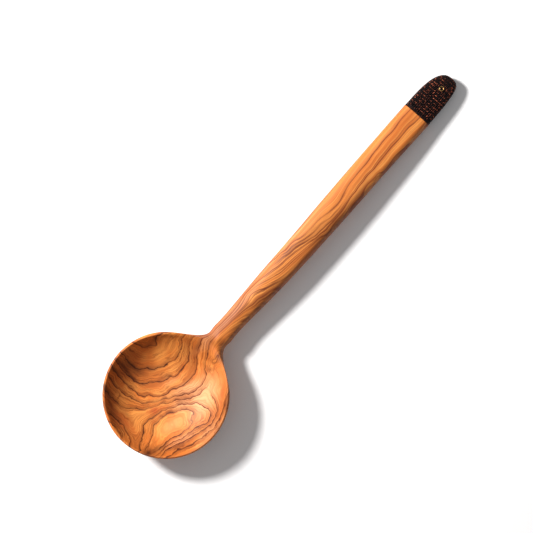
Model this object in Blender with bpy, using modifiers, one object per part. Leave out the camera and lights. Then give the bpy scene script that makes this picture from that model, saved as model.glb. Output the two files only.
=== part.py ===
"""A round-bowled spoon carved from one piece of olive wood, with a woven wire sleeve on its handle end.

The spoon is one solid: bowl, neck, handle, and a tenon that the sleeve fits over. The sleeve is warp wires
laid along the tenon, two weft wires wound round them, a binding at its mouth, and a small brass eye.
Frame: origin at the middle of the flat under the bowl, +X along the handle to its tip, +Z up.
"""

import math

import bmesh
import bpy
from mathutils import Vector

MM = 0.001

# Driving dimensions: the whole spoon
LENGTH = 305 * MM
RIM_RADIUS = 39.25 * MM
RIM_HEIGHT = 23.9 * MM
RIM_FALL = 0.025  # the slope of the rim, down towards the handle
FOOT_RADIUS = 11.5 * MM
TIP_X = LENGTH - RIM_RADIUS

# The bowl's wall as (share of the rim's radius, share of its height), from inside, over the rim, to the foot.
# On the handle's side the rim is lower and rolls over into the neck, so the wall has a second outline there.
HOLLOW = [(0.27, 0.262), (0.5, 0.343), (0.705, 0.53), (0.853, 0.745), (0.92, 0.885), (0.948, 0.962)]
CREST = [(0.972, 1.0)]
OUTSIDE = [(0.994, 0.968), (1.0, 0.895), (0.968, 0.735), (0.872, 0.522), (0.718, 0.305), (0.51, 0.107)]
SADDLE_HOLLOW = [(0.27, 0.262), (0.5, 0.34), (0.7, 0.51), (0.855, 0.7), (0.945, 0.81), (1.005, 0.865)]
SADDLE_CREST = [(1.075, 0.885)]
SADDLE_OUTSIDE = [(1.05, 0.85), (1.055, 0.75), (1.02, 0.62), (0.91, 0.455), (0.73, 0.285), (0.51, 0.105)]
HOLLOW_BOTTOM = 0.252
BOWL_SIDES = 16
SADDLE_SHARPNESS = 12  # how quickly the second outline gives way to the first, round the rim

# The neck leaves the bowl over the two sides that face +X, from the crest down this many rings of the outside
NECK_RINGS = 5

# The handle's sections, in mm: X, half width, half height, sideways drift, height of the middle, and fullness
HANDLE = [
    (44.5, 7.4, 7.1, -0.9, 12.45, 2.05),
    (50.5, 7.1, 6.9, -1.15, 11.8, 2.0),
    (58.0, 6.8, 6.9, -1.15, 11.35, 2.0),
    (76.0, 7.4, 7.0, -1.45, 11.4, 2.1),
    (100.0, 8.25, 7.0, -1.85, 11.8, 2.35),
    (130.0, 8.75, 6.9, -2.05, 11.75, 2.45),
    (165.0, 9.2, 6.6, -1.85, 10.95, 2.7),
    (200.0, 9.35, 6.25, -1.75, 9.35, 3.0),
    (224.0, 9.55, 6.15, -1.9, 7.45, 3.1),
]

# The sleeve's outer skin, flush with the handle at its mouth and closing at the tip
MOUTH_X = 233.7 * MM
MOUTH_HALF_WIDTH = 9.65 * MM
MOUTH_HALF_HEIGHT = 6.1 * MM
MOUTH_DRIFT = -1.95 * MM
TIP_DRIFT = -3.6 * MM
MOUTH_MIDDLE = 6.56 * MM
TIP_MIDDLE = 5.09 * MM
SLEEVE_FULLNESS = 2.9
NOSE_FULLNESS = 3.1

# Wires
WIRE = 0.5 * MM
WIRE_GAP = 0.08 * MM
WARPS = 40
WEFT_PITCH = 2.2 * MM
WEFT_POINTS_A_TURN = 18
WEFT_START = 2.5 * MM
BINDING_START = 0.4 * MM
BINDING_TURNS = 3
BINDING_POINTS_A_TURN = 28
EYE_X = 256 * MM
EYE_Y = -2.7 * MM
EYE_DIAMETER = 3.2 * MM
EYE_POINTS = 16
TENON_DEPTH = 2 * WIRE + 5 * WIRE_GAP

# Where the tenon has sections and a warp wire has points, in degrees along the nose from mouth to tip
TENON_SECTIONS = (12, 30, 48, 62, 73, 81)
WARP_POINTS = (2, 16, 32, 46, 58, 67, 74)


def clear_scene():
    for old in list(bpy.data.objects):
        bpy.data.objects.remove(old)


def material(name, colour, roughness, metallic):
    made = bpy.data.materials.new(name)
    made.use_nodes = True
    shader = made.node_tree.nodes["Principled BSDF"]
    shader.inputs["Base Color"].default_value = (*colour, 1)
    shader.inputs["Roughness"].default_value = roughness
    shader.inputs["Metallic"].default_value = metallic
    return made


def superellipse(angle, half_width, half_height, fullness):
    """The point of a rounded section at an angle: fullness 2 is an ellipse, and more is squarer."""
    c, s = math.cos(angle), math.sin(angle)
    y = half_width * math.copysign(abs(c) ** (2 / fullness), c)
    z = half_height * math.copysign(abs(s) ** (2 / fullness), s)
    return y, z


def even_angles(count, half_width, half_height, fullness, samples=2880):
    """The angles that split a section's outline, from its top, into equal lengths."""
    angles = [math.pi / 2 + 2 * math.pi * i / samples for i in range(samples + 1)]
    outline = [superellipse(a, half_width, half_height, fullness) for a in angles]
    lengths = [0.0]
    for before, after in zip(outline, outline[1:]):
        lengths.append(lengths[-1] + math.dist(before, after))
    found, i = [], 0
    for k in range(count):
        while lengths[i] < lengths[-1] * k / count:
            i += 1
        found.append(angles[i])
    return found


# ---- The sleeve's skin, which the tenon and every wire are measured from


def nose(angle):
    """How far along the sleeve, and how full its section is, from the mouth (0) to the tip (90 degrees)."""
    power = 2 / NOSE_FULLNESS
    return math.sin(angle) ** power, math.cos(angle) ** power


def skin(angle, turn):
    """A point on the sleeve's outer skin. turn is an angle round the section, from the +Y side."""
    along, full = nose(angle)
    y, z = superellipse(turn, MOUTH_HALF_WIDTH * full, MOUTH_HALF_HEIGHT * full, SLEEVE_FULLNESS)
    drift = MOUTH_DRIFT + (TIP_DRIFT - MOUTH_DRIFT) * along**4
    middle = MOUTH_MIDDLE + (TIP_MIDDLE - MOUTH_MIDDLE) * along
    return Vector((MOUTH_X + (TIP_X - MOUTH_X) * along, drift + y, middle + z))


def under_skin(angle, turn, depth, step=0.004):
    """A point sunk below the skin by depth, square to it."""
    low, high = max(angle - step, 1e-4), min(angle + step, math.pi / 2 - 1e-4)
    forward = skin(high, turn) - skin(low, turn)
    around = skin(angle, turn + step) - skin(angle, turn - step)
    outward = around.cross(forward).normalized()
    return skin(angle, turn) - depth * outward


def nose_angles(spacing, first, samples=4000):
    """Nose angles a given distance apart along the skin's side, starting first along it, up to the tip."""
    angles = [math.pi / 2 * (i / samples) ** 2 for i in range(samples + 1)]
    found, gone, wanted = [], 0.0, first
    for before, after in zip(angles, angles[1:]):
        gone += (skin(after, 0) - skin(before, 0)).length
        while gone >= wanted:
            found.append(after)
            wanted += spacing
    return found


# ---- The wooden spoon


def bowl_point(ring, side):
    """A point of the bowl's wall, by its ring, from the inside to the foot, and its side, from +X."""
    angle = 2 * math.pi * side / BOWL_SIDES
    towards_neck = max(0.0, math.cos(angle)) ** SADDLE_SHARPNESS
    foot = [(FOOT_RADIUS / RIM_RADIUS, 0.0)]
    out, up = (HOLLOW + CREST + OUTSIDE + foot)[ring]
    saddle_out, saddle_up = (SADDLE_HOLLOW + SADDLE_CREST + SADDLE_OUTSIDE + foot)[ring]
    out += (saddle_out - out) * towards_neck
    up += (saddle_up - up) * towards_neck
    x = RIM_RADIUS * out * math.cos(angle)
    return Vector((x, RIM_RADIUS * out * math.sin(angle), up * (RIM_HEIGHT - RIM_FALL * x)))


def add_bowl(cage):
    """The bowl as rings of points, with an opening for the neck. Returns the opening's loop and the foot."""
    crest = len(HOLLOW)
    lowest = crest + NECK_RINGS
    rings = []
    for k in range(len(HOLLOW + CREST + OUTSIDE) + 1):
        inside_neck = crest < k < lowest
        sides = range(1 if inside_neck else 0, BOWL_SIDES)
        rings.append({side: cage.verts.new(bowl_point(k, side)) for side in sides})
    for k, (inner, outer) in enumerate(zip(rings, rings[1:])):
        for side in range(BOWL_SIDES):
            after = (side + 1) % BOWL_SIDES
            at_neck = crest <= k < lowest and side in (0, BOWL_SIDES - 1)
            if not at_neck:
                cage.faces.new((inner[side], outer[side], outer[after], inner[after]))
    for ring, height in ((rings[0], HOLLOW_BOTTOM * RIM_HEIGHT), (rings[-1], 0.0)):
        middle = cage.verts.new((0, 0, height))
        for side in range(BOWL_SIDES):
            cage.faces.new((middle, ring[side], ring[(side + 1) % BOWL_SIDES]))
    left, right = 1, BOWL_SIDES - 1
    loop = [rings[crest][0]]
    loop += [ring[left] for ring in rings[crest : lowest + 1]]
    loop += [rings[lowest][0]]
    loop += [ring[right] for ring in reversed(rings[crest : lowest + 1])]
    return loop, list(rings[-1].values())


def section_ring(count, x, half_width, half_height, drift, middle, fullness):
    """The points of one handle section, from its top, towards +Y."""
    points = []
    for angle in even_angles(count, half_width, half_height, fullness):
        y, z = superellipse(angle, half_width, half_height, fullness)
        points.append(Vector((x, drift - y, middle + z)))
    return points


def handle_rings(count):
    """Every section of the handle and the tenon, as (points, sharp)."""
    rings = []
    for x, half_width, half_height, drift, middle, fullness in HANDLE:
        sizes = [value * MM for value in (x, half_width, half_height, drift, middle)]
        rings.append((section_ring(count, *sizes, fullness), False))
    turns = even_angles(count, MOUTH_HALF_WIDTH, MOUTH_HALF_HEIGHT, SLEEVE_FULLNESS)
    shoulder = [skin(0, math.pi - turn) for turn in turns]
    rings.append((shoulder, True))
    seat = [under_skin(1e-3, math.pi - turn, TENON_DEPTH) for turn in turns]
    for point in seat:
        point.x = MOUTH_X
    rings.append((seat, True))
    for degrees in TENON_SECTIONS:
        angle = math.radians(degrees)
        rings.append(([under_skin(angle, math.pi - turn, TENON_DEPTH) for turn in turns], False))
    return rings


def add_handle(cage, loop):
    """The handle as a loft from the bowl's opening to the tenon's end. Returns the edges that stay sharp."""
    sharp, before = [], loop
    for points, is_sharp in handle_rings(len(loop)):
        ring = [cage.verts.new(point) for point in points]
        for i in range(len(ring)):
            after = (i + 1) % len(ring)
            cage.faces.new((before[i], ring[i], ring[after], before[after]))
        if is_sharp:
            sharp.append(ring)
        before = ring
    cage.faces.new(before)
    return sharp


def smooth_through(body, rounds=12):
    """Moves the cage until the smooth surface made from it passes through the points it was drawn with."""
    wanted = [vertex.co.copy() for vertex in body.data.vertices]
    for _ in range(rounds):
        bpy.context.view_layer.update()
        smooth = body.evaluated_get(bpy.context.evaluated_depsgraph_get()).data
        misses = [goal - smooth.vertices[i].co for i, goal in enumerate(wanted)]
        for vertex, miss in zip(body.data.vertices, misses):
            vertex.co += miss
        body.data.update()


def make_spoon(finish):
    cage = bmesh.new()
    loop, foot = add_bowl(cage)
    sharp = [foot, *add_handle(cage, loop)]
    crease = cage.edges.layers.float.new("crease_edge")
    for ring in sharp:
        for i, vertex in enumerate(ring):
            edge = cage.edges.get((vertex, ring[(i + 1) % len(ring)]))
            edge[crease] = 1.0
    bmesh.ops.recalc_face_normals(cage, faces=cage.faces)
    mesh = bpy.data.meshes.new("spoon_body")
    cage.to_mesh(mesh)
    cage.free()
    mesh.materials.append(finish)
    spoon = bpy.data.objects.new("spoon_body", mesh)
    parts.objects.link(spoon)
    smoothing = spoon.modifiers.new("Smooth", "SUBSURF")
    smoothing.levels = 1
    smoothing.render_levels = 1
    smooth_through(spoon)
    mesh.shade_smooth()
    return spoon


# ---- The woven sleeve


def make_wire(name, points, finish, thickness=WIRE, sides=4, closed=False):
    curve = bpy.data.curves.new(name, "CURVE")
    curve.dimensions = "3D"
    curve.bevel_depth = thickness / 2
    curve.bevel_resolution = (sides - 4) // 2
    curve.use_fill_caps = not closed
    spline = curve.splines.new("POLY")
    spline.points.add(len(points) - 1)
    for slot, point in zip(spline.points, points):
        slot.co = (*point, 1)
    spline.use_cyclic_u = closed
    curve.materials.append(finish)
    wire = bpy.data.objects.new(name, curve)
    parts.objects.link(wire)
    return wire


def make_warps(finish):
    """The wires laid side by side along the tenon, from the mouth to where they crowd at the nose."""
    depth = 1.5 * WIRE + 2 * WIRE_GAP
    turns = even_angles(WARPS, MOUTH_HALF_WIDTH, MOUTH_HALF_HEIGHT, SLEEVE_FULLNESS)
    for i, turn in enumerate(turns):
        points = [under_skin(math.radians(degrees), turn, depth) for degrees in WARP_POINTS]
        make_wire(f"warp_wire_{i + 1:02d}", points, finish)


def make_weft(name, finish, start):
    """One wire wound round the warps in a spiral, from just behind the mouth to the middle of the nose."""
    points = []
    step = WEFT_PITCH / WEFT_POINTS_A_TURN
    turns = even_angles(WEFT_POINTS_A_TURN, MOUTH_HALF_WIDTH, MOUTH_HALF_HEIGHT, SLEEVE_FULLNESS)
    for i, angle in enumerate(nose_angles(step, start)):
        if angle < math.radians(86):
            points.append(under_skin(angle, turns[i % len(turns)], WIRE / 2))
    return make_wire(name, points, finish)


def make_binding(finish):
    """The wire wound close, a few turns round the sleeve's mouth, against the wood's shoulder."""
    step = (WIRE + WIRE_GAP) / BINDING_POINTS_A_TURN
    angles = nose_angles(step, BINDING_START)[: BINDING_TURNS * BINDING_POINTS_A_TURN]
    turns = even_angles(BINDING_POINTS_A_TURN, MOUTH_HALF_WIDTH, MOUTH_HALF_HEIGHT, SLEEVE_FULLNESS)
    points = [under_skin(angle, turns[i % len(turns)], WIRE / 2) for i, angle in enumerate(angles)]
    return make_wire("mouth_binding", points, finish)


def make_eye(finish):
    """A ring of brass wire on the sleeve's upper face, near the tip, that rests on the wefts."""
    points = []
    for i in range(EYE_POINTS):
        turn = 2 * math.pi * i / EYE_POINTS
        x = EYE_X + (EYE_DIAMETER - WIRE) / 2 * math.cos(turn)
        y = EYE_Y + (EYE_DIAMETER - WIRE) / 2 * math.sin(turn)
        along = (x - MOUTH_X) / (TIP_X - MOUTH_X)
        full = (1 - along**NOSE_FULLNESS) ** (1 / NOSE_FULLNESS)
        drift = MOUTH_DRIFT + (TIP_DRIFT - MOUTH_DRIFT) * along**4
        share = abs((y - drift) / (MOUTH_HALF_WIDTH * full))
        rise = MOUTH_HALF_HEIGHT * full * (1 - share**SLEEVE_FULLNESS) ** (1 / SLEEVE_FULLNESS)
        middle = MOUTH_MIDDLE + (TIP_MIDDLE - MOUTH_MIDDLE) * along
        points.append(Vector((x, y, middle + rise + WIRE / 2 + 2 * WIRE_GAP)))
    return make_wire("brass_eye", points, finish, sides=6, closed=True)


clear_scene()
parts = bpy.data.collections.new("olive_wood_spoon")
bpy.context.scene.collection.children.link(parts)
black_wire = material("black enamelled wire", (0.012, 0.011, 0.011), 0.45, 0.0)
copper_wire = material("copper wire", (0.45, 0.16, 0.08), 0.35, 1.0)
make_spoon(material("olive wood", (0.62, 0.29, 0.09), 0.45, 0.0))
make_warps(material("aged copper wire", (0.12, 0.05, 0.035), 0.4, 1.0))
make_weft("weft_wire_black", black_wire, WEFT_START)
make_weft("weft_wire_copper", copper_wire, WEFT_START + WEFT_PITCH / 2)
make_binding(black_wire)
make_eye(material("brass wire", (0.7, 0.5, 0.22), 0.3, 1.0))
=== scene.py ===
"""An olive-wood serving spoon with a woven wire sleeve on its handle end, on a white table."""

import math

import bmesh
import bpy
import numpy as np
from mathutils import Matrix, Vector, noise


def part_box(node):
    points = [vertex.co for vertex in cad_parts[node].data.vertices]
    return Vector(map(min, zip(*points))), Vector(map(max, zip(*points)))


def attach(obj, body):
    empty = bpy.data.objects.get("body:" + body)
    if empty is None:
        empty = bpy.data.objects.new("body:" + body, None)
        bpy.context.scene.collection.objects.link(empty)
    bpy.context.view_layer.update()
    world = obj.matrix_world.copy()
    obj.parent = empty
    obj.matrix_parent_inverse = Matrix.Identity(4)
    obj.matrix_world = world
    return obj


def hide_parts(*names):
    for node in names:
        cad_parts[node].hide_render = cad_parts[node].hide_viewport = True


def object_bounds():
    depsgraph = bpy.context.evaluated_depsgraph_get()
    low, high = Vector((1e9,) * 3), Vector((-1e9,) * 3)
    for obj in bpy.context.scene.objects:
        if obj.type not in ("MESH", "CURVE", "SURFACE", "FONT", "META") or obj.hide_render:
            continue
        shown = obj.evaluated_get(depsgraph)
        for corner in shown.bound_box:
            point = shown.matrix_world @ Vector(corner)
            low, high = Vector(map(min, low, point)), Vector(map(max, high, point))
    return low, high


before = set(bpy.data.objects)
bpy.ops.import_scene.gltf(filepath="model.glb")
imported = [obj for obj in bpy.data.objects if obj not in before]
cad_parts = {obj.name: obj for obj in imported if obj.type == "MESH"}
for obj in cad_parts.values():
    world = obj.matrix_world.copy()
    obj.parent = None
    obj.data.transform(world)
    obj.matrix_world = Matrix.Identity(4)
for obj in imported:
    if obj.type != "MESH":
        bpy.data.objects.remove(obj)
cad_box = [list(corner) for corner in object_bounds()]


# ---- The spoon -----------------------------------------------------------------------------------
# One piece of olive wood. The bowl is turned and hollowed, the neck and the handle are carved from
# the same billet and sanded round, and the last 32 mm of the handle are cut down to a tenon for the
# wire sleeve. The cage below is its outline, and a subdivision surface makes it smooth.

MM = 0.001
spoon_low, spoon_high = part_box("spoon_body")
binding_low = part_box("mouth_binding")[0]

SPOON_LENGTH = 305 * MM
RIM_RADIUS = -spoon_low.x
RIM_FALL = 0.025  # the rim's slope, down towards the handle
RIM_HEIGHT = spoon_high.z - RIM_FALL * RIM_RADIUS
FOOT_RADIUS = 11.5 * MM
HOLLOW_BOTTOM = 0.252  # how high the hollow's middle is, as a share of the rim's height
BOWL_SIDES = 16
NECK_RINGS = 5  # how many rings of the wall the neck takes up, from the rim down
SADDLE_SHARPNESS = 12  # how quickly the wall at the neck gives way to the plain one, round the rim

# The bowl's wall as shares of the rim's radius and height, from inside, over the rim, to the foot,
# and the same wall on the handle's side, where the rim is lower and rolls over into the neck
WALL = {
    "hollow": [
        (0.27, 0.262), (0.5, 0.343), (0.705, 0.53),
        (0.853, 0.745), (0.92, 0.885), (0.948, 0.962),
    ],
    "crest": [(0.972, 1.0)],
    "outside": [
        (0.994, 0.968), (1.0, 0.895), (0.968, 0.735),
        (0.872, 0.522), (0.718, 0.305), (0.51, 0.107),
    ],
}
SADDLE = {
    "hollow": [
        (0.27, 0.262), (0.5, 0.34), (0.7, 0.51),
        (0.855, 0.7), (0.945, 0.81), (1.005, 0.865),
    ],
    "crest": [(1.075, 0.885)],
    "outside": [
        (1.05, 0.85), (1.055, 0.75), (1.02, 0.62),
        (0.91, 0.455), (0.73, 0.285), (0.51, 0.105),
    ],
}

# The handle's sections, in mm: X, half width, half height, sideways drift, height of the middle,
# fullness
HANDLE = [
    (44.5, 7.4, 7.1, -0.9, 12.45, 2.05),
    (50.5, 7.1, 6.9, -1.15, 11.8, 2.0),
    (58.0, 6.8, 6.9, -1.15, 11.35, 2.0),
    (76.0, 7.4, 7.0, -1.45, 11.4, 2.1),
    (100.0, 8.25, 7.0, -1.85, 11.8, 2.35),
    (130.0, 8.75, 6.9, -2.05, 11.75, 2.45),
    (165.0, 9.2, 6.6, -1.85, 10.95, 2.7),
    (200.0, 9.35, 6.25, -1.75, 9.35, 3.0),
    (224.0, 9.55, 6.15, -1.9, 7.45, 3.1),
]

# The sleeve's outer skin, flush with the handle at its mouth and closing at the tip
MOUTH_X = binding_low.x - 0.15 * MM
TIP_X = spoon_low.x + SPOON_LENGTH
MOUTH_HALF_WIDTH = 9.65 * MM
MOUTH_HALF_HEIGHT = 6.1 * MM
MOUTH_DRIFT = -1.95 * MM
TIP_DRIFT = -3.6 * MM
MOUTH_MIDDLE = 6.56 * MM
TIP_MIDDLE = 5.09 * MM
SLEEVE_FULLNESS = 2.9
NOSE_FULLNESS = 3.1
TENON_DEPTH = 1.4 * MM
TENON_SECTIONS = (12, 30, 48, 62, 73, 81)  # degrees round the nose, from the mouth to the tip
TENON_SEAT = 1e-3  # radians, the first section: just past the mouth


def superellipse(angle, half_width, half_height, fullness):
    """The point of a rounded section at an angle: fullness 2 is an ellipse, and more is squarer."""
    c, s = math.cos(angle), math.sin(angle)
    y = half_width * math.copysign(abs(c) ** (2 / fullness), c)
    z = half_height * math.copysign(abs(s) ** (2 / fullness), s)
    return y, z


def even_angles(count, half_width, half_height, fullness, samples=2880):
    """The angles that split a section's outline, from its top, into equal lengths."""
    angles = [math.pi / 2 + 2 * math.pi * i / samples for i in range(samples + 1)]
    outline = [superellipse(a, half_width, half_height, fullness) for a in angles]
    lengths = [0.0]
    for before, after in zip(outline, outline[1:]):
        lengths.append(lengths[-1] + math.dist(before, after))
    wanted = [lengths[-1] * k / count for k in range(count)]
    return list(np.interp(wanted, lengths, angles))


def skin(angle, turn):
    """A point on the sleeve's skin: angle runs from its mouth (0) to the tip (90 degrees), turn
    round it."""
    power = 2 / NOSE_FULLNESS
    along, full = math.sin(angle) ** power, max(math.cos(angle), 0.0) ** power
    y, z = superellipse(turn, MOUTH_HALF_WIDTH * full, MOUTH_HALF_HEIGHT * full, SLEEVE_FULLNESS)
    drift = MOUTH_DRIFT + (TIP_DRIFT - MOUTH_DRIFT) * along**4
    middle = MOUTH_MIDDLE + (TIP_MIDDLE - MOUTH_MIDDLE) * along
    return Vector((MOUTH_X + (TIP_X - MOUTH_X) * along, drift + y, middle + z))


def under_skin(angle, turn, depth, step=0.004, margin=1e-4):
    """A point sunk below the skin by depth, square to it."""
    low, high = max(angle - step, margin), min(angle + step, math.pi / 2 - margin)
    forward = skin(high, turn) - skin(low, turn)
    around = skin(angle, turn + step) - skin(angle, turn - step)
    outward = around.cross(forward).normalized()
    return skin(angle, turn) - depth * outward


def bowl_point(ring, side):
    """A point of the bowl's wall, by its ring, from the inside to the foot, and its side, from
    +X."""
    angle = 2 * math.pi * side / BOWL_SIDES
    towards_neck = max(0.0, math.cos(angle)) ** SADDLE_SHARPNESS
    foot = (FOOT_RADIUS / RIM_RADIUS, 0.0)
    out, up = [*WALL["hollow"], *WALL["crest"], *WALL["outside"], foot][ring]
    saddle_out, saddle_up = [*SADDLE["hollow"], *SADDLE["crest"], *SADDLE["outside"], foot][ring]
    out += (saddle_out - out) * towards_neck
    up += (saddle_up - up) * towards_neck
    x = RIM_RADIUS * out * math.cos(angle)
    return Vector((x, RIM_RADIUS * out * math.sin(angle), up * (RIM_HEIGHT - RIM_FALL * x)))


def add_bowl(cage):
    """The bowl as rings of points, with an opening for the neck. Returns the opening's loop and the
    foot."""
    crest = len(WALL["hollow"])
    lowest = crest + NECK_RINGS
    rings = []
    for k in range(crest + len(WALL["crest"]) + len(WALL["outside"]) + 1):
        inside_neck = crest < k < lowest
        sides = range(1 if inside_neck else 0, BOWL_SIDES)
        rings.append({side: cage.verts.new(bowl_point(k, side)) for side in sides})
    for k, (inner, outer) in enumerate(zip(rings, rings[1:])):
        for side in range(BOWL_SIDES):
            after = (side + 1) % BOWL_SIDES
            at_neck = crest <= k < lowest and side in (0, BOWL_SIDES - 1)
            if not at_neck:
                cage.faces.new((inner[side], outer[side], outer[after], inner[after]))
    for ring, height in ((rings[0], HOLLOW_BOTTOM * RIM_HEIGHT), (rings[-1], 0.0)):
        middle = cage.verts.new((0, 0, height))
        for side in range(BOWL_SIDES):
            cage.faces.new((middle, ring[side], ring[(side + 1) % BOWL_SIDES]))
    left, right = 1, BOWL_SIDES - 1
    loop = [rings[crest][0]]
    loop += [ring[left] for ring in rings[crest : lowest + 1]]
    loop += [rings[lowest][0]]
    loop += [ring[right] for ring in reversed(rings[crest : lowest + 1])]
    return loop, list(rings[-1].values())


def handle_rings(count):
    """Every section of the handle and of the tenon, as (points, sharp)."""
    rings = []
    for x, half_width, half_height, drift, middle, fullness in HANDLE:
        ring = []
        for angle in even_angles(count, half_width, half_height, fullness):
            y, z = superellipse(angle, half_width, half_height, fullness)
            ring.append(Vector((x, drift - y, middle + z)) * MM)
        rings.append((ring, False))
    turns = even_angles(count, MOUTH_HALF_WIDTH, MOUTH_HALF_HEIGHT, SLEEVE_FULLNESS)
    rings.append(([skin(0, math.pi - turn) for turn in turns], True))
    seat = [under_skin(TENON_SEAT, math.pi - turn, TENON_DEPTH) for turn in turns]
    for point in seat:
        point.x = MOUTH_X
    rings.append((seat, True))
    for degrees in TENON_SECTIONS:
        ring = [under_skin(math.radians(degrees), math.pi - turn, TENON_DEPTH) for turn in turns]
        rings.append((ring, False))
    return rings


def add_handle(cage, loop):
    """The handle as a loft from the bowl's opening to the tenon's end. Returns its sharp rings."""
    sharp, before = [], loop
    for points, is_sharp in handle_rings(len(loop)):
        ring = [cage.verts.new(point) for point in points]
        for i in range(len(ring)):
            after = (i + 1) % len(ring)
            cage.faces.new((before[i], ring[i], ring[after], before[after]))
        if is_sharp:
            sharp.append(ring)
        before = ring
    cage.faces.new(before)
    return sharp


def smooth_through(body, rounds=8):
    """Moves the cage until the smooth surface made from it passes through the points it was drawn
    with."""
    wanted = [vertex.co.copy() for vertex in body.data.vertices]
    for _ in range(rounds):
        bpy.context.view_layer.update()
        smooth = body.evaluated_get(bpy.context.evaluated_depsgraph_get()).data
        misses = [goal - smooth.vertices[i].co for i, goal in enumerate(wanted)]
        for vertex, miss in zip(body.data.vertices, misses):
            vertex.co += miss
        body.data.update()


def made_solid(body):
    """Applies a piece's modifiers."""
    bpy.context.view_layer.update()
    evaluated = body.evaluated_get(bpy.context.evaluated_depsgraph_get())
    final = bpy.data.meshes.new_from_object(evaluated)
    final.name = body.name
    body.modifiers.clear()
    body.data = final


FITTING_STEPS = 2  # how often the cage's faces are split while it is fitted to its points
FINAL_STEPS = 4


def carve_spoon():
    """The whole cage made smooth: coarsely, to fit it to its points, and then finely."""
    cage = bmesh.new()
    loop, foot = add_bowl(cage)
    sharp = [foot, *add_handle(cage, loop)]
    crease = cage.edges.layers.float.new("crease_edge")
    for ring in sharp:
        for i, vertex in enumerate(ring):
            cage.edges.get((vertex, ring[(i + 1) % len(ring)]))[crease] = 1.0
    bmesh.ops.recalc_face_normals(cage, faces=cage.faces)
    mesh = bpy.data.meshes.new("olive_wood_spoon")
    cage.to_mesh(mesh)
    cage.free()
    body = bpy.data.objects.new("olive_wood_spoon", mesh)
    bpy.context.scene.collection.objects.link(body)
    smoothing = body.modifiers.new("Smooth", "SUBSURF")
    smoothing.levels = smoothing.render_levels = FITTING_STEPS
    smooth_through(body)
    smoothing.levels = smoothing.render_levels = FINAL_STEPS
    made_solid(body)
    return body


spoon = carve_spoon()

# A hand-sanded surface is never quite true: it wanders by about 0.1 mm over the width of a finger.
# The flat foot and the last millimetre before the sleeve are left true, so that both still fit.
HAND_WANDER = 0.1 * MM
HAND_WANDER_WIDTH = 17 * MM
LEFT_TRUE = 1 * MM
SHARP_EDGE = math.radians(50)


def sand_by_hand(body):
    """Moves the surface in and out by the hand's wander."""
    normals = [vertex.normal.copy() for vertex in body.data.vertices]
    for vertex, normal in zip(body.data.vertices, normals):
        if vertex.co.x < MOUTH_X - LEFT_TRUE and vertex.co.z > LEFT_TRUE:
            vertex.co += normal * HAND_WANDER * noise.noise(vertex.co / HAND_WANDER_WIDTH)
    body.data.update()


sand_by_hand(spoon)
spoon.data.shade_smooth()
spoon.data.set_sharp_from_angle(angle=SHARP_EDGE)


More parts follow.
